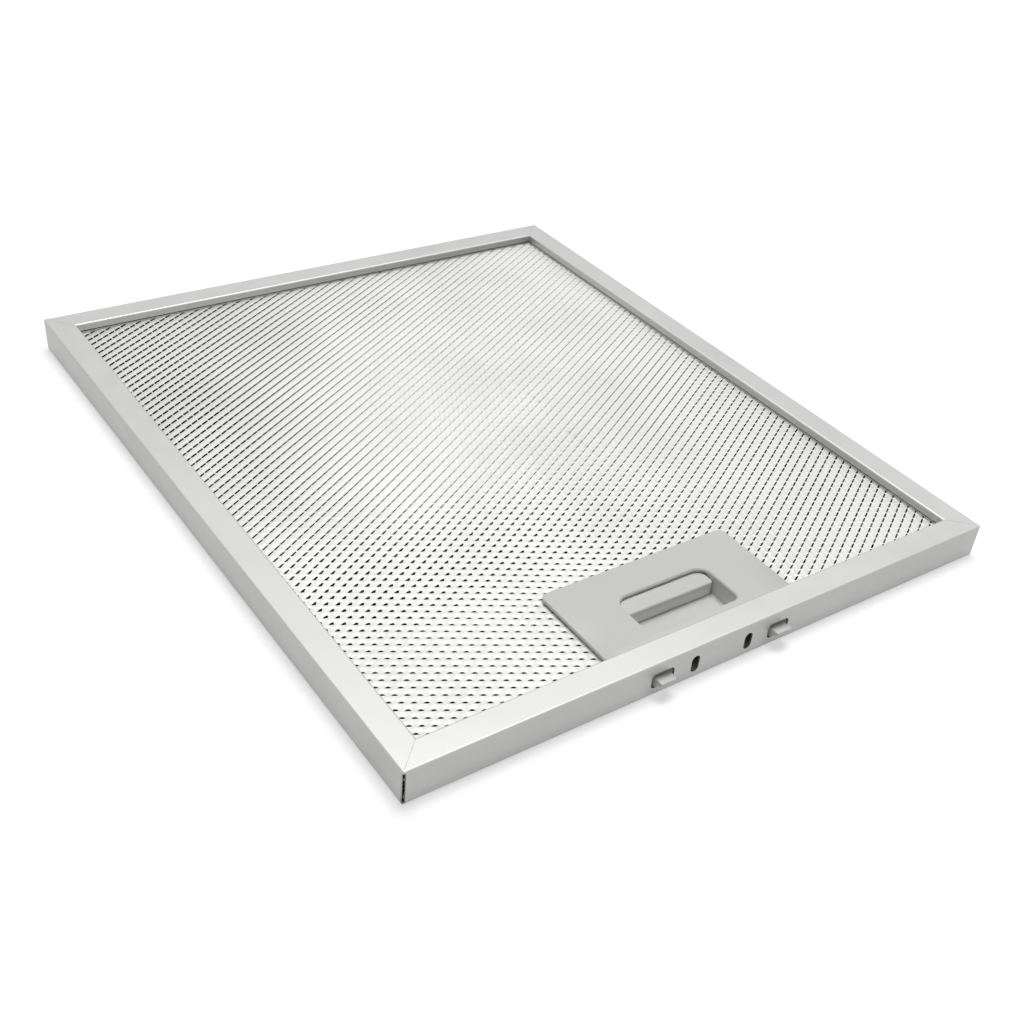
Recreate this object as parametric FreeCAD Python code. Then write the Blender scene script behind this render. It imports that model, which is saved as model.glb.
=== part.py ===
"""Cooker hood grease filter.

A folded aluminium frame holds a pack of expanded-metal meshes. A sprung finger latch sits in the
front edge. X runs along that edge, Y from it to the back, Z up; the origin is on the underside, in
the middle of the frame. All sizes are in millimetres.
"""
import FreeCAD, Part
import math
import os

from FreeCAD import Vector

# Frame: one strip of sheet, folded to a channel and bent round the mesh
frame_width = 253.0
frame_length = 300.0
frame_height = 13.4
sheet = 0.6
fold_radius = 0.75
flange_width = 10.4
upper_lip = 3.1
lower_lip = 1.4
corner_radius = 1.5
mitre_gap = 0.06
seam_setback = 1.1

# Mesh pack: an upper and a lower guard, with deeper layers between them
mesh_clearance = 0.4
seat_gap = 0.1
upper_gap = 0.5
layer_gap = 0.1
guard_height = 1.2
inner_layers = 3
strand_sheet = 0.35
diamond_long = 6.54
diamond_short = 3.94
inner_diamond_long = 23.4
inner_diamond_short = 14.1
strand_share = 0.73
rim_height = 1.0
rim_cover = 0.3
notch_rim = 1.6

# Latch: where it sits in the front edge, and its moulded plate
latch_offset = -4.3
plate_width = 82.0
plate_length = 38.2
plate_thickness = 1.2
plate_corner = 3.0
plate_edge_bevel = 0.3
fit_gap = 0.1
moulded_wall = 1.0

# Finger opening in the plate, and the pocket below it
opening_width = 39.5
opening_length = 20.1
opening_front_margin = 3.7
opening_back_corner = 5.0
opening_front_corner = 2.5
opening_edge_bevel = 0.5
pocket_floor = 0.7

# Slider: finger grip, two arms and two tongues, moulded as one
grip_depth = 8.8
grip_drop = 1.8
grip_corner = 1.5
grip_edge_bevel = 0.4
slide_gap = 0.4
floor_gap = 0.2
crossbar_depth = 4.4
crossbar_gap = 0.5
arm_spacing = 51.2
arm_width = 6.6
arm_height = 3.8
arm_side_gap = 1.1
tongue_reach = 3.5
tongue_tip = 0.5
latch_travel = 4.5
end_stop_gap = 0.3

# Base plate under the latch
base_thickness = 0.5

# Return springs
spring_spacing = 24.0
spring_diameter = 3.4
spring_wire = 0.45
spring_coils = 7
spring_closed_coils = 1
spring_steps = 7
spring_sides = 6
spring_bore_depth = 10.0
spring_bore_gap = 0.25
spring_end_gap = 0.1
post_length = 3.0

# Holes in the front wall
slot_width = 9.4
slot_height = 6.2
slot_corner = 1.8
slot_drop = 0.4
oval_spacing = 23.5
oval_width = 3.4
oval_height = 6.8
oval_level = 6.1

# Levels that the sizes above set
front = -frame_length / 2
wall_inside = front + sheet
lip_inside = front + flange_width
pack_bottom = lower_lip + seat_gap
pack_top = frame_height - upper_lip - upper_gap
pack_height = pack_top - pack_bottom
inner_height = (pack_height - 2 * guard_height - (inner_layers + 1) * layer_gap) / inner_layers
overlap = 0.5
point_tolerance = 1e-6
level_tolerance = 0.01

# Latch places that the sizes above set, with x measured from the latch's own middle
plate_bottom = frame_height - upper_lip
plate_top = plate_bottom + plate_thickness
plate_front = lip_inside + slide_gap
plate_back = plate_front + plate_length
opening_front = plate_front + opening_front_margin
opening_back = opening_front + opening_length
opening_half = opening_width / 2
tub_half = opening_half + moulded_wall
tub_front = opening_front - moulded_wall
base_bottom = pack_bottom + guard_height + layer_gap
base_top = base_bottom + base_thickness
pocket_floor_bottom = base_top + fit_gap
pocket_floor_top = pocket_floor_bottom + pocket_floor
arm_bottom = base_top + fit_gap
arm_top = arm_bottom + arm_height
arm_inner = arm_spacing / 2 - arm_width / 2
arm_outer = arm_spacing / 2 + arm_width / 2
skirt_inner = arm_outer + arm_side_gap
skirt_outer = skirt_inner + moulded_wall
grip_top = plate_top - grip_drop
grip_bottom = pocket_floor_top + floor_gap
grip_half = opening_half - slide_gap
crossbar_front = opening_back + moulded_wall + crossbar_gap
crossbar_back = crossbar_front + crossbar_depth
grip_front = crossbar_front - grip_depth
skirt_back = crossbar_back + latch_travel + end_stop_gap
rear_wall_back = skirt_back + moulded_wall
housing_front = wall_inside + mesh_clearance
rail_roof_top = frame_height - upper_lip - fit_gap
spring_level = (grip_top + grip_bottom) / 2
spring_front = crossbar_back - spring_bore_depth + spring_end_gap
spring_back = skirt_back - spring_end_gap


def block(x_low, x_high, y_low, y_high, z_low, z_high):
    """A box between two corners."""
    size = Vector(x_high - x_low, y_high - y_low, z_high - z_low)
    return Part.makeBox(size.x, size.y, size.z, Vector(x_low, y_low, z_low))


def pair(shape):
    """A piece and its mirror image in the latch's own middle plane."""
    return [shape, shape.mirror(Vector(0, 0, 0), Vector(1, 0, 0))]


def rounded_outline(x_low, x_high, y_low, y_high, radii):
    """A flat rectangle whose corners, front-left first and anticlockwise, have the given radii."""
    corners = [(x_low, y_low, 1, 1), (x_high, y_low, -1, 1), (x_high, y_high, -1, -1), (x_low, y_high, 1, -1)]
    diagonal = 1 - math.sqrt(0.5)
    runs = []
    for index, ((x, y, inward_x, inward_y), radius) in enumerate(zip(corners, radii)):
        on_x_side = Vector(x + inward_x * radius, y, 0)
        on_y_side = Vector(x, y + inward_y * radius, 0)
        middle = Vector(x + inward_x * radius * diagonal, y + inward_y * radius * diagonal, 0)
        ends = (on_y_side, on_x_side) if index % 2 == 0 else (on_x_side, on_y_side)
        runs.append((ends[0], middle, ends[1], radius))
    edges = []
    for index, (start, middle, end, radius) in enumerate(runs):
        if radius > 0:
            edges.append(Part.Arc(start, middle, end).toShape())
        following = runs[(index + 1) % 4][0]
        if not end.isEqual(following, point_tolerance):
            edges.append(Part.LineSegment(end, following).toShape())
    return Part.Face(Part.Wire(edges))


def raised(face, z_low, z_high):
    """A flat outline pulled up between two levels."""
    lifted = face.copy()
    lifted.translate(Vector(0, 0, z_low))
    return lifted.extrude(Vector(0, 0, z_high - z_low))


def bevel_edges(shape, width, wanted):
    """Breaks the edges whose middle point passes the test."""
    return shape.makeChamfer(width, [edge for edge in shape.Edges if wanted(edge.CenterOfMass)])


def channel_section(place):
    """The folded strip in section. place(inward, level) gives a point of the rail's end plane."""
    bend = math.sqrt(0.5)
    top = frame_height
    far = flange_width
    turns = [(fold_radius, top - fold_radius, -1, 1), (far - fold_radius, top - fold_radius, 1, 1)]
    turns_below = [(far - fold_radius, fold_radius, 1, -1), (fold_radius, fold_radius, -1, -1)]

    def arc(centre, first_is_upright):
        across, level, side, rise = centre
        upright = place(across + side * fold_radius, level)
        flat = place(across, level + rise * fold_radius)
        middle = place(across + side * fold_radius * bend, level + rise * fold_radius * bend)
        ends = (upright, flat) if first_is_upright else (flat, upright)
        return [ends[0], middle, ends[1]]

    outside = [arc(turns_below[1], False), arc(turns[0], True), arc(turns[1], False)]
    upper_end = [place(far, top - upper_lip), place(far - sheet, top - upper_lip)]
    inside = [place(far - sheet, top - sheet), place(sheet, top - sheet), place(sheet, sheet),
              place(far - sheet, sheet)]
    lower_end = [place(far - sheet, lower_lip), place(far, lower_lip)]
    last = arc(turns_below[0], True)
    runs = outside + [[point] for point in upper_end + inside + lower_end] + [last]
    edges = []
    for index, run in enumerate(runs):
        if len(run) == 3:
            edges.append(Part.Arc(*run).toShape())
        edges.append(Part.LineSegment(run[-1], runs[(index + 1) % len(runs)][0]).toShape())
    return Part.Face(Part.Wire(edges))


def rail(start, along, inward, length):
    """One side of the channel, cut to mitres at both ends."""
    def place(across, level):
        return start + inward * across + Vector(0, 0, level)

    bar = channel_section(place).extrude(along * length)
    setback = mitre_gap * math.sqrt(0.5)
    reach = flange_width + overlap
    plan = [(setback, 0), (length - setback, 0), (length - setback - reach, reach), (setback + reach, reach)]
    points = [start + along * distance + inward * across for distance, across in plan]
    wedge = Part.Face(Part.makePolygon(points + points[:1]))
    return bar.common(raised(wedge, -overlap, frame_height + overlap))


def bent_corner(side_x, side_y):
    """The upright bend that carries the wall round one corner."""
    reach = corner_radius + overlap
    outer = rounded_outline(0, reach, 0, reach, (corner_radius, 0, 0, 0))
    inner = rounded_outline(sheet, reach, sheet, reach, (corner_radius - sheet, 0, 0, 0))
    bend = raised(outer.cut(inner).Faces[0], fold_radius, frame_height - fold_radius)
    if side_x > 0:
        bend = bend.mirror(Vector(0, 0, 0), Vector(1, 0, 0))
    if side_y > 0:
        bend = bend.mirror(Vector(0, 0, 0), Vector(0, 1, 0))
    bend.translate(Vector(side_x * frame_width / 2, side_y * frame_length / 2, 0))
    return bend


def wall_hole(x, level, width, height, corner):
    """A rounded hole straight through the front wall."""
    outline = rounded_outline(-width / 2, width / 2, -height / 2, height / 2, (corner,) * 4)
    cutter = outline.extrude(Vector(0, 0, sheet + 2 * overlap))
    cutter.rotate(Vector(0, 0, 0), Vector(1, 0, 0), 90)
    cutter.translate(Vector(latch_offset + x, wall_inside + overlap, level))
    return cutter


def make_frame():
    """The folded strip: four mitred sides, three bent corners, an open seam and the latch holes."""
    half_x, half_y = frame_width / 2, frame_length / 2
    x_axis, y_axis = Vector(1, 0, 0), Vector(0, 1, 0)
    sides = [rail(Vector(-half_x, -half_y, 0), x_axis, y_axis, frame_width),
             rail(Vector(half_x, -half_y, 0), y_axis, -x_axis, frame_length),
             rail(Vector(half_x, half_y, 0), -x_axis, -y_axis, frame_width),
             rail(Vector(-half_x, half_y, 0), -y_axis, x_axis, frame_length)]
    outline = rounded_outline(-half_x, half_x, -half_y, half_y, (0, corner_radius, corner_radius, corner_radius))
    envelope = raised(outline, -overlap, frame_height + overlap)
    trimmed = [side.common(envelope) for side in sides]
    bends = [bent_corner(1, -1), bent_corner(1, 1), bent_corner(-1, 1)]
    frame = trimmed[0].multiFuse(trimmed[1:] + bends).removeSplitter()
    seam = block(-half_x - overlap, -half_x + seam_setback, -half_y - overlap, -half_y + seam_setback,
                 sheet, frame_height - sheet)
    slot_level = arm_bottom - slot_drop + slot_height / 2
    holes = [wall_hole(side * arm_spacing / 2, slot_level, slot_width, slot_height, slot_corner)
             for side in (-1, 1)]
    holes += [wall_hole(side * oval_spacing / 2, oval_level, oval_width, oval_height, oval_width / 2)
              for side in (-1, 1)]
    return frame.cut(Part.makeCompound([seam] + holes))


def expanded_mesh(z_low, height, long_way, short_way, lean, notched):
    """One layer of expanded metal: slanting strands with a gap between each two, in a pressed rim.

    long_way and short_way are a diamond's two widths. lean is 1 or -1, for strands that run to the back
    right or to the back left.
    """
    pitch = long_way * short_way / math.hypot(long_way, short_way)
    rise = pitch * strand_share
    angle = lean * math.degrees(math.atan2(short_way, long_way))
    half_x = frame_width / 2 - sheet - mesh_clearance
    half_y = frame_length / 2 - sheet - mesh_clearance
    z_high = z_low + height
    outline = block(-half_x, half_x, -half_y, half_y, z_low, z_high)
    edge = flange_width - rim_cover
    window = block(-frame_width / 2 + edge, frame_width / 2 - edge, front + edge, -front - edge, z_low, z_high)
    if notched:
        half = skirt_outer + mesh_clearance
        back = rear_wall_back + mesh_clearance
        outline = outline.cut(block(latch_offset - half, latch_offset + half, front, back, z_low, z_high))
        half += notch_rim
        back += notch_rim
        window = window.cut(block(latch_offset - half, latch_offset + half, front, back, z_low, z_high))

    reach = math.hypot(half_x, half_y)
    count = math.ceil(reach / pitch)
    section = [(0, z_low), (rise, z_high - strand_sheet), (rise, z_high), (0, z_low + strand_sheet)]
    strands = []
    for step in range(-count, count + 1):
        points = [Vector(-reach, step * pitch + across, level) for across, level in section]
        strands.append(Part.Face(Part.makePolygon(points + points[:1])).extrude(Vector(2 * reach, 0, 0)))
    strands = Part.makeCompound(strands)
    strands.rotate(Vector(0, 0, 0), Vector(0, 0, 1), angle)
    rim = outline.cut(window)
    if height > rim_height:
        rim = rim.common(block(-half_x, half_x, -half_y, half_y, z_low, z_low + rim_height))
    mesh = rim.fuse(strands.common(window)).removeSplitter()
    # A scrap cut off in a corner, clear of the rim, falls away
    return max(mesh.Solids, key=lambda solid: solid.Volume)


def make_housing():
    """The moulded plate with its finger opening, the pocket, and the walls that guide the slider."""
    half = plate_width / 2
    outline = rounded_outline(-half, half, plate_front, plate_back, (0, 0, plate_corner, plate_corner))
    plate = raised(outline, plate_bottom, plate_top)
    plate = bevel_edges(plate, plate_edge_bevel,
                        lambda middle: middle.z > plate_top - level_tolerance and middle.y > plate_front + overlap)
    corners = (opening_front_corner, opening_front_corner, opening_back_corner, opening_back_corner)
    opening = rounded_outline(-opening_half, opening_half, opening_front, opening_back, corners)
    plate = plate.cut(raised(opening, plate_bottom - overlap, plate_top + overlap))

    def opening_rim(middle):
        beside = abs(middle.x) < opening_half + overlap
        within = opening_front - overlap < middle.y < opening_back + overlap
        return beside and within and middle.z > plate_top - level_tolerance

    plate = bevel_edges(plate, opening_edge_bevel, opening_rim)

    tub = block(-tub_half, tub_half, tub_front, opening_back + moulded_wall, pocket_floor_bottom, plate_bottom)
    hollow = rounded_outline(-opening_half, opening_half, opening_front, crossbar_front + overlap,
                             (opening_front_corner, opening_front_corner, 0, 0))
    tub = tub.cut(raised(hollow, pocket_floor_top, plate_bottom + overlap))
    rear_wall = block(-skirt_outer, skirt_outer, skirt_back, rear_wall_back, base_top + fit_gap, plate_bottom)
    side_wall = block(skirt_inner, skirt_outer, plate_front, rear_wall_back, base_top + fit_gap, plate_bottom)
    guide_inner = arm_inner - arm_side_gap
    guide = block(guide_inner - moulded_wall, skirt_outer, housing_front, tub_front + moulded_wall,
                  base_top + fit_gap, rail_roof_top)
    tunnel = block(guide_inner, skirt_inner, housing_front - overlap, tub_front + moulded_wall + overlap,
                   base_top - overlap, arm_top + slide_gap)
    guide = guide.cut(tunnel)
    bridge = block(guide_inner - moulded_wall, skirt_outer, plate_front, tub_front + moulded_wall,
                   arm_top + slide_gap, plate_bottom)
    post = Part.makeCylinder(spring_diameter / 2 - spring_wire - spring_bore_gap, post_length,
                             Vector(spring_spacing / 2, skirt_back, spring_level), Vector(0, -1, 0))
    pieces = [tub, rear_wall]
    for piece in (side_wall, guide, bridge, post):
        pieces += pair(piece)
    housing = plate.multiFuse(pieces).removeSplitter()
    housing.translate(Vector(latch_offset, 0, 0))
    return housing


def make_slider():
    """The finger grip with its crossbar, two arms and two wedge tongues."""
    outline = rounded_outline(-grip_half, grip_half, grip_front, crossbar_front + overlap,
                              (grip_corner, grip_corner, 0, 0))
    grip = raised(outline, grip_bottom, grip_top)
    grip = bevel_edges(grip, grip_edge_bevel,
                       lambda middle: middle.z > grip_top - level_tolerance and middle.y < grip_front + grip_corner)
    crossbar = block(-arm_outer, arm_outer, crossbar_front, crossbar_back, grip_bottom, grip_top)
    profile = [(crossbar_back, arm_bottom), (front, arm_bottom), (front - tongue_reach, arm_top - tongue_tip),
               (front - tongue_reach, arm_top), (crossbar_back, arm_top)]
    points = [Vector(arm_inner, y, level) for y, level in profile]
    arm = Part.Face(Part.makePolygon(points + points[:1])).extrude(Vector(arm_width, 0, 0))
    slider = grip.multiFuse([crossbar] + pair(arm)).removeSplitter()
    bore = Part.makeCylinder(spring_diameter / 2 + spring_bore_gap, spring_bore_depth + overlap,
                             Vector(spring_spacing / 2, crossbar_back + overlap, spring_level), Vector(0, -1, 0))
    slider = slider.cut(Part.makeCompound(pair(bore)))
    slider.translate(Vector(latch_offset, 0, 0))
    return slider


def make_base():
    """The flat plate that closes the latch from below, with a leg under each arm."""
    plate = block(-skirt_outer, skirt_outer, tub_front, rear_wall_back, base_bottom, base_top)
    leg_inner = arm_inner - arm_side_gap - moulded_wall
    leg = block(leg_inner, skirt_outer, housing_front, tub_front + overlap, base_bottom, base_top)
    base = plate.multiFuse(pair(leg)).removeSplitter()
    base.translate(Vector(latch_offset, 0, 0))
    return base


def make_spring(side):
    """A return spring with closed end coils, between the slider's bore and the housing's rear wall."""
    coil_radius = (spring_diameter - spring_wire) / 2
    closed = spring_closed_coils
    open_pitch = (spring_back - spring_front - spring_wire * (1 + 2 * closed)) / (spring_coils - 2 * closed)
    sections = []
    for step in range(spring_coils * spring_steps + 1):
        turn = step / spring_steps
        opened = min(max(turn - closed, 0), spring_coils - 2 * closed)
        height = opened * open_pitch + (turn - opened) * spring_wire
        angle = 2 * math.pi * turn
        outward = Vector(math.cos(angle), 0, math.sin(angle))
        centre = outward * coil_radius + Vector(0, height, 0)
        ring = []
        for corner in range(spring_sides):
            around = 2 * math.pi * corner / spring_sides
            ring.append(centre + outward * (math.cos(around) * spring_wire / 2)
                        + Vector(0, math.sin(around) * spring_wire / 2, 0))
        sections.append(Part.makePolygon(ring + ring[:1]))
    spring = Part.makeLoft(sections, True, True)
    place = Vector(latch_offset + side * spring_spacing / 2, spring_front + spring_wire / 2, spring_level)
    spring.translate(place)
    return spring


def make_meshes():
    """The mesh pack from the top down, with the strands crossing from layer to layer."""
    guard = (diamond_long, diamond_short)
    inner = (inner_diamond_long, inner_diamond_short)
    meshes = {"upper_guard_mesh": expanded_mesh(pack_top - guard_height, guard_height, *guard, 1, True)}
    level = pack_top - guard_height - layer_gap - inner_height
    lean = -1
    for number in range(1, inner_layers + 1):
        meshes[f"inner_mesh_{number}"] = expanded_mesh(level, inner_height, *inner, lean, True)
        level -= layer_gap + inner_height
        lean = -lean
    meshes["lower_guard_mesh"] = expanded_mesh(pack_bottom, guard_height, *guard, lean, False)
    return meshes


pieces = {"frame": make_frame(), "latch_housing": make_housing(), "latch_slider": make_slider(),
          "latch_base": make_base(), "left_spring": make_spring(-1), "right_spring": make_spring(1)}
pieces.update(make_meshes())

os.makedirs("parts", exist_ok=True)
for name, shape in pieces.items():
    solids = shape.Solids
    print(f"{name}: {len(solids)} solid, {shape.Volume:.1f} mm3, valid {shape.isValid()}")
    solids[0].exportStep(f"parts/{name}.step")
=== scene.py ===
"""Looks of a cooker hood grease filter: folded frame, expanded mesh pack and sprung finger latch."""

import math

import bmesh
import bpy
from mathutils import Matrix, Vector


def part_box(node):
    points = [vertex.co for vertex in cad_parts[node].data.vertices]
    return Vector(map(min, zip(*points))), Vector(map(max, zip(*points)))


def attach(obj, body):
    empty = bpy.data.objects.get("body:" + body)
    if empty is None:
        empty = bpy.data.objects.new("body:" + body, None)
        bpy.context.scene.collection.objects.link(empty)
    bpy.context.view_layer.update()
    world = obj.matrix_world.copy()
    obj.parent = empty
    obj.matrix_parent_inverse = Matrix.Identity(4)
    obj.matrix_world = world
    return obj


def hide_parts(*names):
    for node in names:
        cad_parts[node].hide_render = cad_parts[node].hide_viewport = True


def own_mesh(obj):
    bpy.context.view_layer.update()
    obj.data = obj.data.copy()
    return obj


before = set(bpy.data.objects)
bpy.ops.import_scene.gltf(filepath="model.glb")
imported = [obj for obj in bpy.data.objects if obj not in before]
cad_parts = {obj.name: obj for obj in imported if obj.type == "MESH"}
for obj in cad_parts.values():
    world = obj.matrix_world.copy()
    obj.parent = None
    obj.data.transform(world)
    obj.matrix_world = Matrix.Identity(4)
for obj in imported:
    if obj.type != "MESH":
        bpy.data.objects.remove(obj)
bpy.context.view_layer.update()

# Frame
# One strip of aluminium sheet, folded to a channel and bent round the mesh pack at three corners.
# It is mill finished, with faint lines along the sheet from the rolls that drew it.
MM = 0.001
FRAME_COLOUR = (0.49, 0.49, 0.485, 1)
FRAME_ROUGHNESS = (0.46, 0.54)
FRAME_CLOUDS_PER_METRE = 60
FRAME_STAINS_PER_METRE = 14
FRAME_STAIN_DEPTH = 0.05
ROLL_LINES_PER_METRE = 900
ROLL_LINE_STRETCH = (1, 1, 0.2)
ROLL_LINE_HEIGHT = 0.004 * MM
NOISE_RANGE = (0.3, 0.7)


def new_finish(name, colour, metallic):
    """A fresh material with its shader, ready for the finish's own nodes."""
    finish = bpy.data.materials.new(name)
    finish.use_nodes = True
    shader = finish.node_tree.nodes["Principled BSDF"]
    shader.inputs["Base Color"].default_value = colour
    shader.inputs["Metallic"].default_value = metallic
    return finish, shader


def noise_on(finish, scale, detail, stretch=(1, 1, 1)):
    """A noise pattern fixed to the piece, drawn out along an axis where stretch is small."""
    nodes, links = finish.node_tree.nodes, finish.node_tree.links
    place = nodes.new("ShaderNodeTexCoord")
    mapping = nodes.new("ShaderNodeMapping")
    mapping.inputs["Scale"].default_value = stretch
    noise = nodes.new("ShaderNodeTexNoise")
    noise.inputs["Scale"].default_value = scale
    noise.inputs["Detail"].default_value = detail
    links.new(place.outputs["Object"], mapping.inputs["Vector"])
    links.new(mapping.outputs["Vector"], noise.inputs["Vector"])
    return noise.outputs["Fac"]


def spread(finish, value, low, high):
    """A pattern's middle range mapped to low and high."""
    ramp = finish.node_tree.nodes.new("ShaderNodeMapRange")
    ramp.inputs["From Min"].default_value = NOISE_RANGE[0]
    ramp.inputs["From Max"].default_value = NOISE_RANGE[1]
    ramp.inputs["To Min"].default_value = low
    ramp.inputs["To Max"].default_value = high
    finish.node_tree.links.new(value, ramp.inputs["Value"])
    return ramp.outputs["Result"]


def tint(finish, shader, value, colour, depth):
    """Lets a pattern darken the colour by up to depth."""
    nodes, links = finish.node_tree.nodes, finish.node_tree.links
    mix = nodes.new("ShaderNodeMix")
    mix.data_type = "RGBA"
    mix.inputs["A"].default_value = colour
    mix.inputs["B"].default_value = [channel * (1 - depth) for channel in colour[:3]] + [1]
    links.new(spread(finish, value, 0, 1), mix.inputs["Factor"])
    links.new(mix.outputs["Result"], shader.inputs["Base Color"])


def relief(finish, shader, value, height):
    """Lets a pattern raise the surface by height."""
    nodes, links = finish.node_tree.nodes, finish.node_tree.links
    bump = nodes.new("ShaderNodeBump")
    bump.inputs["Strength"].default_value = 1
    bump.inputs["Distance"].default_value = height
    links.new(value, bump.inputs["Height"])
    links.new(bump.outputs["Normal"], shader.inputs["Normal"])


def sheen(finish, shader, value, roughness):
    """Lets a pattern vary the roughness between two values."""
    finish.node_tree.links.new(spread(finish, value, *roughness), shader.inputs["Roughness"])


def rolled_sheet():
    """Mill finished aluminium, with lines from the rolls."""
    finish, shader = new_finish("rolled_sheet", FRAME_COLOUR, metallic=1)
    sheen(finish, shader, noise_on(finish, FRAME_CLOUDS_PER_METRE, detail=3), FRAME_ROUGHNESS)
    stains = noise_on(finish, FRAME_STAINS_PER_METRE, detail=2)
    tint(finish, shader, stains, FRAME_COLOUR, FRAME_STAIN_DEPTH)
    lines = noise_on(finish, ROLL_LINES_PER_METRE, detail=1, stretch=ROLL_LINE_STRETCH)
    relief(finish, shader, lines, ROLL_LINE_HEIGHT)
    return finish


def dress(node, finish):
    """Gives a carried-over piece its finish."""
    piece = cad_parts[node]
    piece.data.materials.clear()
    piece.data.materials.append(finish)


dress("frame", rolled_sheet())

# Mesh layers
# Thin aluminium foil, slit in staggered rows and pulled, so that each slit stands open as a gap
# in a slanting line; the inner layers seen through the gaps are painted dark as shade. The cut edge of each
# layer is pressed flat and lies in the frame's channel.
PITCH_ALONG = 3.82 * MM
PITCH_ACROSS = 6.75 * MM
ROW_TURN = -59
FOIL = 0.2 * MM
GUARD_COARSENESS = 1
INNER_COARSENESS = 3
CELL_CORNERS = 6
# Heights of corners are shares of half the layer's height
CELL_LIFT = 0.2
# Corners of one slit, anticlockwise: mm across, mm along, and height
MIDDLE_SLIT = (
    (0.36, -1.0, -0.1), (0.33, 1.1, -0.2), (0, 1.87, 0.1),
    (-0.33, 0.95, -0.2), (-0.36, -1.15, -0.1), (0, -1.74, 0.2),
)
LEFT_SLIT = (
    (0.33, -1.5, 0), (0.31, 1.5, 0), (0, 1.88, 0),
    (-0.31, 1.45, 0), (-0.33, -1.55, 0), (0, -1.86, 0),
)
FRONT_SLIT = (
    (1.0, -0.04, 0), (0.18, 0.3, -0.2), (-0.33, 0.19, -0.2),
    (-0.69, -0.2, -0.2), (-1.0, -1.16, 0), (0.12, -0.9, 0.2),
)
# How far the long edges of the slits are rolled up: in the middle, and what the sides add to that
ROLL_MIDDLE = -0.38 * MM
ROLL_LEFT = 0.60 * MM
ROLL_RIGHT = 0.44 * MM
RIGHT_LENGTHENING = 0.5
# Where the pull was different: each fade has a slope and a start, over distances in units of PULL_REACH
PULL_REACH = 110 * MM
FRONT_FADE = {"x": (-1.4, 0.65), "y": (-1.7, -0.5)}
LEFT_FADE = {"x": (-1.4, -0.2), "y": (0.5, 0.75)}
BACK_FADE = {"x": (-0.38, 0.58), "y": (1.2, -0.25)}
RIGHT_FADE = {"x": (1.4, -0.2), "y": (-0.6, 0.5)}
RIM = 1.0 * MM
# The slits show inside the flanges' turned-in lips
WINDOW_INSET = 10.1 * MM
frame_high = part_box("frame")[1]
WINDOW = (frame_high.x - WINDOW_INSET, frame_high.y - WINDOW_INSET)
# The notch goes round the latch's base plate
NOTCH_CLEARANCE = 0.4 * MM
NOTCH_RIM = 1.6 * MM
base_low, base_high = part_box("latch_base")
NOTCH_LEFT = base_low.x - NOTCH_CLEARANCE
NOTCH_RIGHT = base_high.x + NOTCH_CLEARANCE
NOTCH_BACK = base_high.y + NOTCH_CLEARANCE
MERGE = 1e-6
GUARD_COLOUR = (0.6, 0.6, 0.595, 1)
GUARD_ROUGHNESS = (0.62, 0.70)
# Painted shade: the inner layers' colour is far darker than the bare aluminium they are, and stands for the
# shade inside the pack that shows through the slits.
INNER_SHADE_COLOUR = (0.16, 0.16, 0.155, 1)
INNER_ROUGHNESS = (0.4, 0.5)
FOIL_GRAINS_PER_METRE = 300
FOIL_STAINS_PER_METRE = 25
FOIL_STAIN_DEPTH = 0.08


def clear_selection():
    for piece in bpy.context.selected_objects:
        piece.select_set(False)


def take_up(piece):
    """Makes a piece the only one that the next operator acts on."""
    clear_selection()
    piece.select_set(True)
    bpy.context.view_layer.objects.active = piece


def pick(test):
    """Selects the points whose place passes the test, in edit mode."""
    shape = bmesh.from_edit_mesh(bpy.context.edit_object.data)
    for point in shape.verts:
        point.select = test(point.co)
    shape.select_flush_mode()
    bmesh.update_edit_mesh(bpy.context.edit_object.data)


def pick_faces(test):
    """Selects the faces whose middle passes the test, in edit mode."""
    bpy.ops.mesh.select_mode(type="FACE")
    shape = bmesh.from_edit_mesh(bpy.context.edit_object.data)
    for face in shape.faces:
        face.select_set(test(face.calc_center_median()))
    shape.select_flush_mode()
    bmesh.update_edit_mesh(bpy.context.edit_object.data)


def repeat(piece, count, step):
    """Copies a piece along a step and welds the copies."""
    rows = piece.modifiers.new("rows", "ARRAY")
    rows.count = count
    rows.use_relative_offset = False
    rows.use_constant_offset = True
    rows.constant_offset_displace = step
    rows.use_merge_vertices = True
    rows.merge_threshold = MERGE
    bpy.ops.object.modifier_apply(modifier=rows.name)


def thicken(piece, thickness):
    """Gives a sheet its thickness, half to each side."""
    wall = piece.modifiers.new("wall", "SOLIDIFY")
    wall.thickness = thickness
    wall.offset = 0
    bpy.ops.object.modifier_apply(modifier=wall.name)


def join(pieces):
    """Joins pieces into the first of them."""
    clear_selection()
    for piece in pieces:
        piece.select_set(True)
    bpy.context.view_layer.objects.active = pieces[0]
    bpy.ops.object.join()
    return pieces[0]


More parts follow.
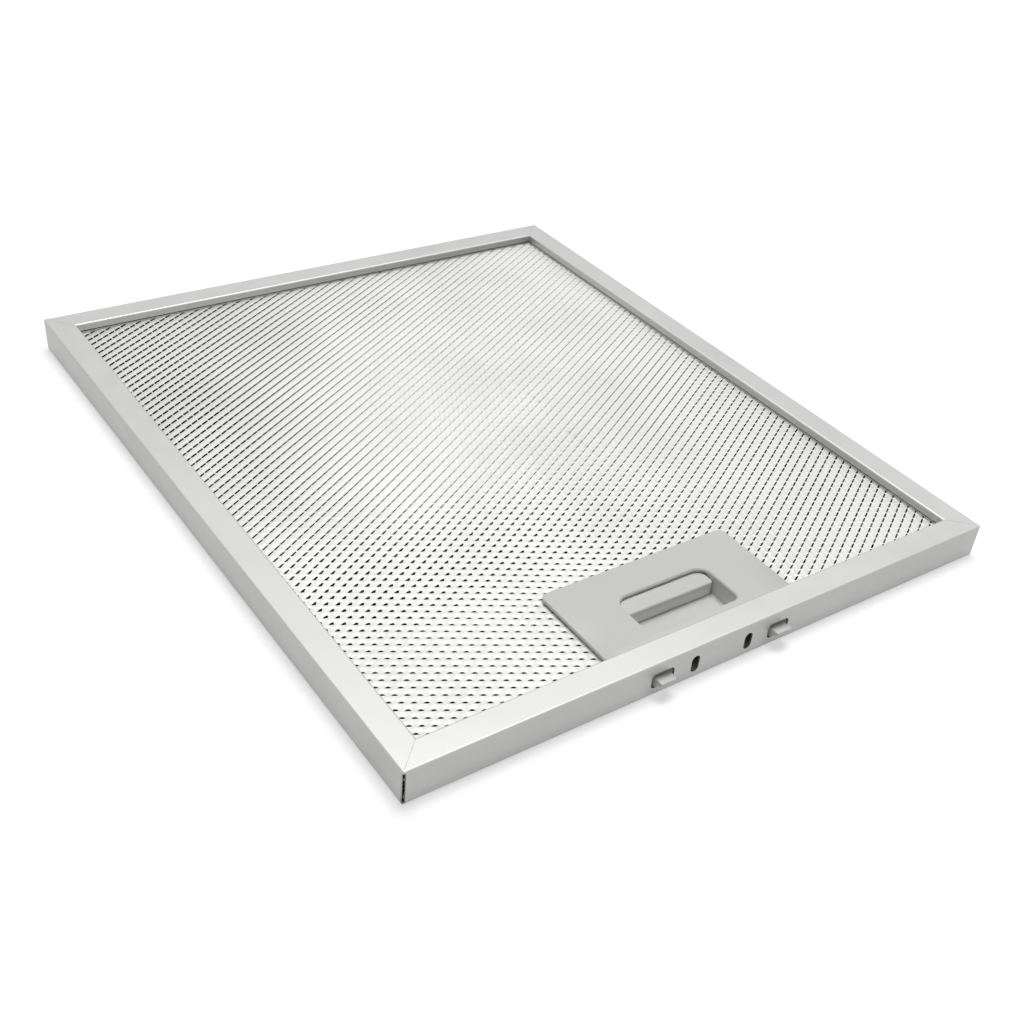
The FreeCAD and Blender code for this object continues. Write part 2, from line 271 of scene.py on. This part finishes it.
def slit_cell(along, across, size, half_height, slit):
    """One six-cornered cell with its slit, drawn in from the corners of a circle and left in edit mode."""
    lift = CELL_LIFT * half_height
    drop = 1
    cell = [(across / 3, 0), (across / 6, along / 2), (-across / 6, along / 2)]
    cell += [(-x, -y) for x, y in cell]
    clear_selection()
    bpy.ops.mesh.primitive_circle_add(vertices=CELL_CORNERS, radius=1, fill_type="NOTHING")
    piece = bpy.context.object
    bpy.ops.object.mode_set(mode="EDIT")
    bpy.ops.mesh.select_mode(type="VERT")
    nearby = 0.1
    for corner, (x, y) in enumerate(cell):
        angle = 2 * math.pi * (corner + 0.5) / CELL_CORNERS
        start = Vector((math.cos(angle), math.sin(angle), 0))
        pick(lambda co: (co - start).length < nearby)
        bpy.ops.transform.translate(value=(x - start.x, y - start.y, lift))
    bpy.ops.mesh.select_all(action="SELECT")
    bpy.ops.mesh.extrude_edges_move(TRANSFORM_OT_translate={"value": (0, 0, -drop)})
    for (x, y), (slit_x, slit_y, height) in zip(cell, slit):
        pick(lambda co: co.z < -drop / 2 and abs(co.x - x) < MERGE and abs(co.y - y) < MERGE)
        rise = drop - lift + height * half_height
        bpy.ops.transform.translate(value=(slit_x * size - x, slit_y * size - y, rise))
    return piece


def slit_sheet(coarseness, half_height, slit):
    """A sheet of slits in staggered rows, before it is cut to size."""
    along = PITCH_ALONG * coarseness
    across = PITCH_ACROSS * coarseness
    piece = slit_cell(along, across, MM * coarseness, half_height, slit)
    bpy.ops.mesh.select_all(action="SELECT")
    bpy.ops.mesh.duplicate_move(TRANSFORM_OT_translate={"value": (across / 2, along / 2, 0)})
    bpy.ops.mesh.select_all(action="SELECT")
    bpy.ops.mesh.remove_doubles(threshold=MERGE)
    bpy.ops.object.mode_set(mode="OBJECT")
    turn = math.radians(abs(ROW_TURN))
    wide = 2 * (WINDOW[0] * math.cos(turn) + WINDOW[1] * math.sin(turn))
    deep = 2 * (WINDOW[0] * math.sin(turn) + WINDOW[1] * math.cos(turn))
    spare = 2
    columns = math.ceil(wide / across) + spare
    rows = math.ceil(deep / along) + spare
    repeat(piece, columns, (across, 0, 0))
    repeat(piece, rows, (0, along, 0))
    piece.location = (-across * columns / 2, -along * rows / 2, 0)
    bpy.ops.object.transform_apply(location=True)
    bpy.ops.object.mode_set(mode="EDIT")
    bpy.ops.mesh.select_all(action="SELECT")
    bpy.ops.mesh.normals_make_consistent()
    bpy.ops.object.mode_set(mode="OBJECT")
    return piece


def clamp(value, low=0, high=1):
    return max(low, min(high, value))


def fade(place, zone):
    """How much a place belongs to a zone of the sheet, from 0 to 1."""
    slope_x, start_x = zone["x"]
    slope_y, start_y = zone["y"]
    return clamp(slope_x * place.x + start_x) * clamp(slope_y * place.y + start_y)


def side_of_row(x, first_row):
    """Up to 1 for the left edge of a row of slits, down to -1 for its right edge, and 0 on its line."""
    row = (x - first_row) / (PITCH_ACROSS / 2)
    offset = row - round(row)
    on_the_line = 0.01
    if abs(offset) < on_the_line:
        return 0
    return -math.copysign(1 - 2 * abs(offset), offset)


def pull(sheet, left_sheet, front_sheet, half_height):
    """Shapes the slits as the pull left them: short at the front left, longest at the left and the back.

    Their edges are rolled up towards the sides, and the points move one by one, each by its own amount.
    """
    first_row = min(point.co.x for point in sheet.data.vertices) + PITCH_ACROSS / 3
    turn = Matrix.Rotation(math.radians(ROW_TURN), 3, "Z")
    sheets = (sheet.data.vertices, left_sheet.data.vertices, front_sheet.data.vertices)
    for point, left_point, front_point in zip(*sheets):
        side = side_of_row(point.co.x, first_row)
        place = (turn @ point.co) / PULL_REACH
        front = fade(place, FRONT_FADE)
        right = fade(place, RIGHT_FADE)
        left = fade(place, LEFT_FADE)
        left += fade(place, BACK_FADE) * (1 - left)
        roll = ROLL_MIDDLE + ROLL_LEFT * left + ROLL_RIGHT * right
        longer = clamp(left + RIGHT_LENGTHENING * right)
        point.co = point.co.lerp(left_point.co, longer).lerp(front_point.co, front)
        point.co.z += side * roll * (1 - front)
        point.co.z = clamp(point.co.z, -half_height, half_height)
    for spare in (left_sheet, front_sheet):
        bpy.data.objects.remove(spare)


def cut_away(place, direction):
    """Cuts the sheet being edited along a plane and drops what lies beyond it."""
    bpy.ops.mesh.select_all(action="SELECT")
    bpy.ops.mesh.bisect(plane_co=place, plane_no=direction, clear_outer=True, threshold=MERGE / 10)


def score(place, direction):
    """Cuts the sheet being edited along a plane and keeps both sides."""
    bpy.ops.mesh.select_all(action="SELECT")
    bpy.ops.mesh.bisect(plane_co=place, plane_no=direction, threshold=MERGE / 10)


def notch_edges(rim):
    """Left, right and back edge of the latch's notch with a rim round it."""
    return NOTCH_LEFT - rim, NOTCH_RIGHT + rim, NOTCH_BACK + rim


def in_notch(co, rim):
    left, right, back = notch_edges(rim)
    return left < co.x < right and co.y < back


def score_notch(rim):
    left, right, back = notch_edges(rim)
    score((left, 0, 0), (1, 0, 0))
    score((right, 0, 0), (1, 0, 0))
    score((0, back, 0), (0, 1, 0))


def pressed_rim(half_width, half_length, middle, notched):
    """The flat band round a layer, and round its notch for the latch."""
    clear_selection()
    bpy.ops.mesh.primitive_plane_add(size=2, location=(0, 0, middle))
    piece = bpy.context.object
    piece.scale = (half_width, half_length, 1)
    bpy.ops.object.transform_apply(location=True, scale=True)
    bpy.ops.object.mode_set(mode="EDIT")
    for side in (-1, 1):
        score((side * WINDOW[0], 0, 0), (1, 0, 0))
    for side in (-1, 1):
        score((0, side * WINDOW[1], 0), (0, 1, 0))
    if notched:
        score_notch(NOTCH_RIM)
        score_notch(0)

    def open_area(co):
        in_window = abs(co.x) < WINDOW[0] and abs(co.y) < WINDOW[1]
        if not notched:
            return in_window
        return in_notch(co, 0) or (in_window and not in_notch(co, NOTCH_RIM))

    pick_faces(open_area)
    bpy.ops.mesh.delete(type="FACE")
    bpy.ops.object.mode_set(mode="OBJECT")
    return piece


def mesh_layer(node, finish, coarseness, mirrored=False, notched=True, pulled=False):
    """One layer of the pack: the slit sheet cut to the frame's window, in its pressed rim."""
    low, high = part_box(node)
    middle = (low.z + high.z) / 2
    half_height = (high.z - low.z - FOIL) / 2
    sheet = slit_sheet(coarseness, half_height, MIDDLE_SLIT)
    if pulled:
        left_sheet = slit_sheet(coarseness, half_height, LEFT_SLIT)
        front_sheet = slit_sheet(coarseness, half_height, FRONT_SLIT)
        pull(sheet, left_sheet, front_sheet, half_height)
        take_up(sheet)
    sheet.rotation_euler.z = math.radians(ROW_TURN)
    bpy.ops.object.transform_apply(rotation=True)
    bpy.ops.object.mode_set(mode="EDIT")
    if mirrored:
        bpy.ops.mesh.select_all(action="SELECT")
        bpy.ops.transform.mirror(constraint_axis=(True, False, False), center_override=(0, 0, 0))
        bpy.ops.mesh.flip_normals()
    for side in (-1, 1):
        cut_away((side * WINDOW[0], 0, 0), (side, 0, 0))
        cut_away((0, side * WINDOW[1], 0), (0, side, 0))
    if notched:
        score_notch(NOTCH_RIM)
        pick_faces(lambda co: in_notch(co, NOTCH_RIM))
        bpy.ops.mesh.delete(type="FACE")
    bpy.ops.mesh.select_all(action="SELECT")
    bpy.ops.transform.translate(value=(0, 0, middle))
    bpy.ops.object.mode_set(mode="OBJECT")
    thicken(sheet, FOIL)
    rim = pressed_rim(high.x, high.y, middle, notched)
    thicken(rim, min(RIM, high.z - low.z))
    join((sheet, rim))
    sheet.name = node + "_foil"
    sheet.data.materials.append(finish)
    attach(sheet, "filter")
    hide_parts(node)


def expanded_foil(name, colour, roughness):
    """Bare foil, a little uneven in sheen and colour."""
    finish, shader = new_finish(name, colour, metallic=1)
    sheen(finish, shader, noise_on(finish, FOIL_GRAINS_PER_METRE, detail=2), roughness)
    tint(finish, shader, noise_on(finish, FOIL_STAINS_PER_METRE, detail=3), colour, FOIL_STAIN_DEPTH)
    return finish


guard_finish = expanded_foil("guard_foil", GUARD_COLOUR, GUARD_ROUGHNESS)
# The inner layers get the painted shade colour, not the aluminium's own.
inner_shade_finish = expanded_foil("inner_foil_painted_shade", INNER_SHADE_COLOUR, INNER_ROUGHNESS)
mesh_layer("lower_guard_mesh", guard_finish, GUARD_COARSENESS, notched=False)
mesh_layer("inner_mesh_3", inner_shade_finish, INNER_COARSENESS, mirrored=True)
mesh_layer("inner_mesh_2", inner_shade_finish, INNER_COARSENESS)
mesh_layer("inner_mesh_1", inner_shade_finish, INNER_COARSENESS, mirrored=True)
mesh_layer("upper_guard_mesh", guard_finish, GUARD_COARSENESS, pulled=True)

# Latch base, housing and slider
# Three grey plastic mouldings with a fine spark-eroded grain. The base closes the latch from below,
# the housing is its plate with the finger pocket, and the slider carries the grip and both tongues.
LATCH_COLOUR = (0.7, 0.7, 0.69, 1)
LATCH_ROUGHNESS = (0.42, 0.55)
LATCH_STAINS_PER_METRE = 40
LATCH_STAIN_DEPTH = 0.04
GRAINS_PER_METRE = 2600
GRAIN_HEIGHT = 0.02 * MM
EDGE_ROUND = 0.22 * MM
EDGE_STEPS = 2
FLAT_ANGLE = math.radians(1)
EDGE_ANGLE = math.radians(35)
SMOOTH_ANGLE = math.radians(40)


def moulded_grain():
    """Grey plastic with the fine grain of a spark-eroded mould."""
    finish, shader = new_finish("moulded_grain", LATCH_COLOUR, metallic=0)
    grain = noise_on(finish, GRAINS_PER_METRE, detail=2)
    sheen(finish, shader, grain, LATCH_ROUGHNESS)
    stains = noise_on(finish, LATCH_STAINS_PER_METRE, detail=2)
    tint(finish, shader, stains, LATCH_COLOUR, LATCH_STAIN_DEPTH)
    relief(finish, shader, grain, GRAIN_HEIGHT)
    return finish


latch_finish = moulded_grain()


def moulding(node, body):
    """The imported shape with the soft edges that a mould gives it."""
    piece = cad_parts[node].copy()
    piece.data = piece.data.copy()
    piece.name = node + "_moulding"
    piece.parent = None
    for key in list(piece.keys()):
        del piece[key]
    bpy.context.scene.collection.objects.link(piece)
    take_up(piece)
    bpy.ops.object.mode_set(mode="EDIT")
    bpy.ops.mesh.select_all(action="SELECT")
    bpy.ops.mesh.remove_doubles(threshold=MERGE)
    bpy.ops.mesh.dissolve_limited(angle_limit=FLAT_ANGLE)
    bpy.ops.object.mode_set(mode="OBJECT")
    edges = piece.modifiers.new("edges", "BEVEL")
    edges.width = EDGE_ROUND
    edges.segments = EDGE_STEPS
    edges.limit_method = "ANGLE"
    edges.angle_limit = EDGE_ANGLE
    bpy.ops.object.modifier_apply(modifier=edges.name)
    bpy.ops.object.shade_smooth_by_angle(angle=SMOOTH_ANGLE)
    piece.data.materials.clear()
    piece.data.materials.append(latch_finish)
    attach(piece, body)
    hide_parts(node)


dress("latch_base", latch_finish)
moulding("latch_housing", "filter")
moulding("latch_slider", "latch")

# Return springs
# Two coils of drawn steel wire with closed ends. Each sits in a bore of the slider and presses on the
# housing's rear wall.
WIRE = 0.45 * MM
COIL_RADIUS = 1.475 * MM
OPEN_TURNS = 5
WIRE_SIDES = 8
STEPS_PER_TURN = 20
SPRING_COLOUR = (0.52, 0.52, 0.53, 1)
SPRING_ROUGHNESS = (0.25, 0.4)
WIRE_GRAINS_PER_METRE = 900
COIL_SMOOTH_ANGLE = math.radians(60)
QUARTER_TURN = math.pi / 2


def drawn_wire():
    """Bright steel wire, a little uneven in sheen."""
    finish, shader = new_finish("drawn_wire", SPRING_COLOUR, metallic=1)
    sheen(finish, shader, noise_on(finish, WIRE_GRAINS_PER_METRE, detail=2), SPRING_ROUGHNESS)
    return finish


def coil_run(start, turns, rise):
    """Part of the wire: a round section turned about the spring's axis while it climbs."""
    clear_selection()
    bpy.ops.mesh.primitive_circle_add(
        vertices=WIRE_SIDES, radius=WIRE / 2, location=(COIL_RADIUS, 0, start), rotation=(QUARTER_TURN, 0, 0)
    )
    run = bpy.context.object
    bpy.ops.object.transform_apply(location=True, rotation=True)
    winding = run.modifiers.new("winding", "SCREW")
    winding.angle = 2 * math.pi * turns
    winding.screw_offset = rise
    winding.steps = STEPS_PER_TURN * turns
    winding.render_steps = STEPS_PER_TURN * turns
    winding.axis = "Z"
    bpy.ops.object.modifier_apply(modifier=winding.name)
    return run


def return_spring(node, finish):
    """A closed turn, the open turns and another closed turn, with both ends of the wire capped."""
    low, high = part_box(node)
    length = high.y - low.y
    closed_start = WIRE / 2
    open_start = closed_start + WIRE
    open_rise = length - 2 * open_start
    spring = join((
        coil_run(closed_start, 1, WIRE),
        coil_run(open_start, OPEN_TURNS, open_rise),
        coil_run(open_start + open_rise, 1, WIRE),
    ))
    bpy.ops.object.mode_set(mode="EDIT")
    bpy.ops.mesh.select_all(action="SELECT")
    bpy.ops.mesh.remove_doubles(threshold=MERGE)
    bpy.ops.mesh.select_all(action="DESELECT")
    bpy.ops.mesh.select_mode(type="EDGE")
    bpy.ops.mesh.select_non_manifold()
    bpy.ops.mesh.edge_face_add()
    bpy.ops.mesh.select_all(action="SELECT")
    bpy.ops.mesh.normals_make_consistent(inside=False)
    bpy.ops.object.mode_set(mode="OBJECT")
    spring.name = node + "_coil"
    spring.rotation_euler.x = -QUARTER_TURN
    bpy.ops.object.transform_apply(rotation=True)
    spring.location = ((low.x + high.x) / 2, low.y, (low.z + high.z) / 2)
    bpy.ops.object.transform_apply(location=True)
    bpy.ops.object.shade_smooth_by_angle(angle=COIL_SMOOTH_ANGLE)
    spring.data.materials.append(finish)
    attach(spring, "filter")
    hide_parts(node)
    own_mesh(spring)


wire_finish = drawn_wire()
return_spring("left_spring", wire_finish)
return_spring("right_spring", wire_finish)

# Studio
# A pale floor and a wide soft light overhead; the floor and the world look white to the camera and in
# the metal, and the floor keeps the shadow.
FLOOR_SIZE = 8
FLOOR_DROP = 0.2 * MM
FLOOR_COLOUR = (0.7, 0.7, 0.7, 1)
FLOOR_ROUGHNESS = 0.9
FLOOR_GLOW = 0.46
FILL = 0.15
WHITE = (1, 1, 1, 1)
KEY_PLACE = (0.34, 0.34, 2.6)
KEY_SIZE = 1.4
KEY_POWER = 50


def seen_directly(tree):
    """1 for rays that show the surroundings, 0 for rays that only carry light."""
    path = tree.nodes.new("ShaderNodeLightPath")
    value = path.outputs["Is Camera Ray"]
    for kind in ("Is Glossy Ray", "Is Transmission Ray"):
        either = tree.nodes.new("ShaderNodeMath")
        either.operation = "MAXIMUM"
        tree.links.new(value, either.inputs[0])
        tree.links.new(path.outputs[kind], either.inputs[1])
        value = either.outputs["Value"]
    return value


def between(tree, value, low, high):
    """A value from 0 to 1 mapped to low and high."""
    ramp = tree.nodes.new("ShaderNodeMapRange")
    ramp.inputs["To Min"].default_value = low
    ramp.inputs["To Max"].default_value = high
    tree.links.new(value, ramp.inputs["Value"])
    return ramp.outputs["Result"]


clear_selection()
bpy.ops.mesh.primitive_plane_add(size=FLOOR_SIZE, location=(0, 0, -FLOOR_DROP))
floor = bpy.context.object
floor.name = "studio_floor"
floor_finish, floor_shader = new_finish("pale_floor", FLOOR_COLOUR, metallic=0)
floor_shader.inputs["Roughness"].default_value = FLOOR_ROUGHNESS
floor_shader.inputs["Emission Color"].default_value = WHITE
floor_tree = floor_finish.node_tree
glow = between(floor_tree, seen_directly(floor_tree), 0, FLOOR_GLOW)
floor_tree.links.new(glow, floor_shader.inputs["Emission Strength"])
floor.data.materials.append(floor_finish)

world = bpy.data.worlds.new("studio")
world.use_nodes = True
bpy.context.scene.world = world
backdrop = world.node_tree.nodes["Background"]
backdrop.inputs["Color"].default_value = WHITE
strength = between(world.node_tree, seen_directly(world.node_tree), FILL, 1)
world.node_tree.links.new(strength, backdrop.inputs["Strength"])

lamp = bpy.data.lights.new("key", "AREA")
lamp.shape = "SQUARE"
lamp.size = KEY_SIZE
lamp.energy = KEY_POWER
key_light = bpy.data.objects.new("key", lamp)
bpy.context.scene.collection.objects.link(key_light)
key_light.location = KEY_PLACE
key_light.rotation_euler = (-Vector(KEY_PLACE)).to_track_quat("-Z", "Y").to_euler()

# Camera
# At the photograph's angle, with the lens shift that its framing needs.
PICTURE = 1024
FOCAL_PIXELS = 1305.5
AZIMUTH = -39.96
ELEVATION = 37.55
ROLL = -7.16
CAMERA_PLACE = (-0.26125, -0.36805, 0.28717)
CENTRE_PIXEL = (560, 570)
SENSOR_WIDTH = 36
NEAREST_SEEN = 0.01
lens = bpy.data.cameras.new("camera")
lens.sensor_width = SENSOR_WIDTH
lens.lens = FOCAL_PIXELS / PICTURE * SENSOR_WIDTH
lens.shift_x = (PICTURE / 2 - CENTRE_PIXEL[0]) / PICTURE
lens.shift_y = (CENTRE_PIXEL[1] - PICTURE / 2) / PICTURE
lens.clip_start = NEAREST_SEEN
camera = bpy.data.objects.new("camera", lens)
bpy.context.scene.collection.objects.link(camera)
turn = Matrix.Rotation(math.radians(AZIMUTH), 4, "Z")
rise = Matrix.Rotation(math.radians(90 - ELEVATION), 4, "X")
tip = Matrix.Rotation(math.radians(-ROLL), 4, "Z")
camera.matrix_world = Matrix.Translation(CAMERA_PLACE) @ turn @ rise @ tip
bpy.context.scene.camera = camera
bpy.context.scene.view_settings.view_transform = "Standard"
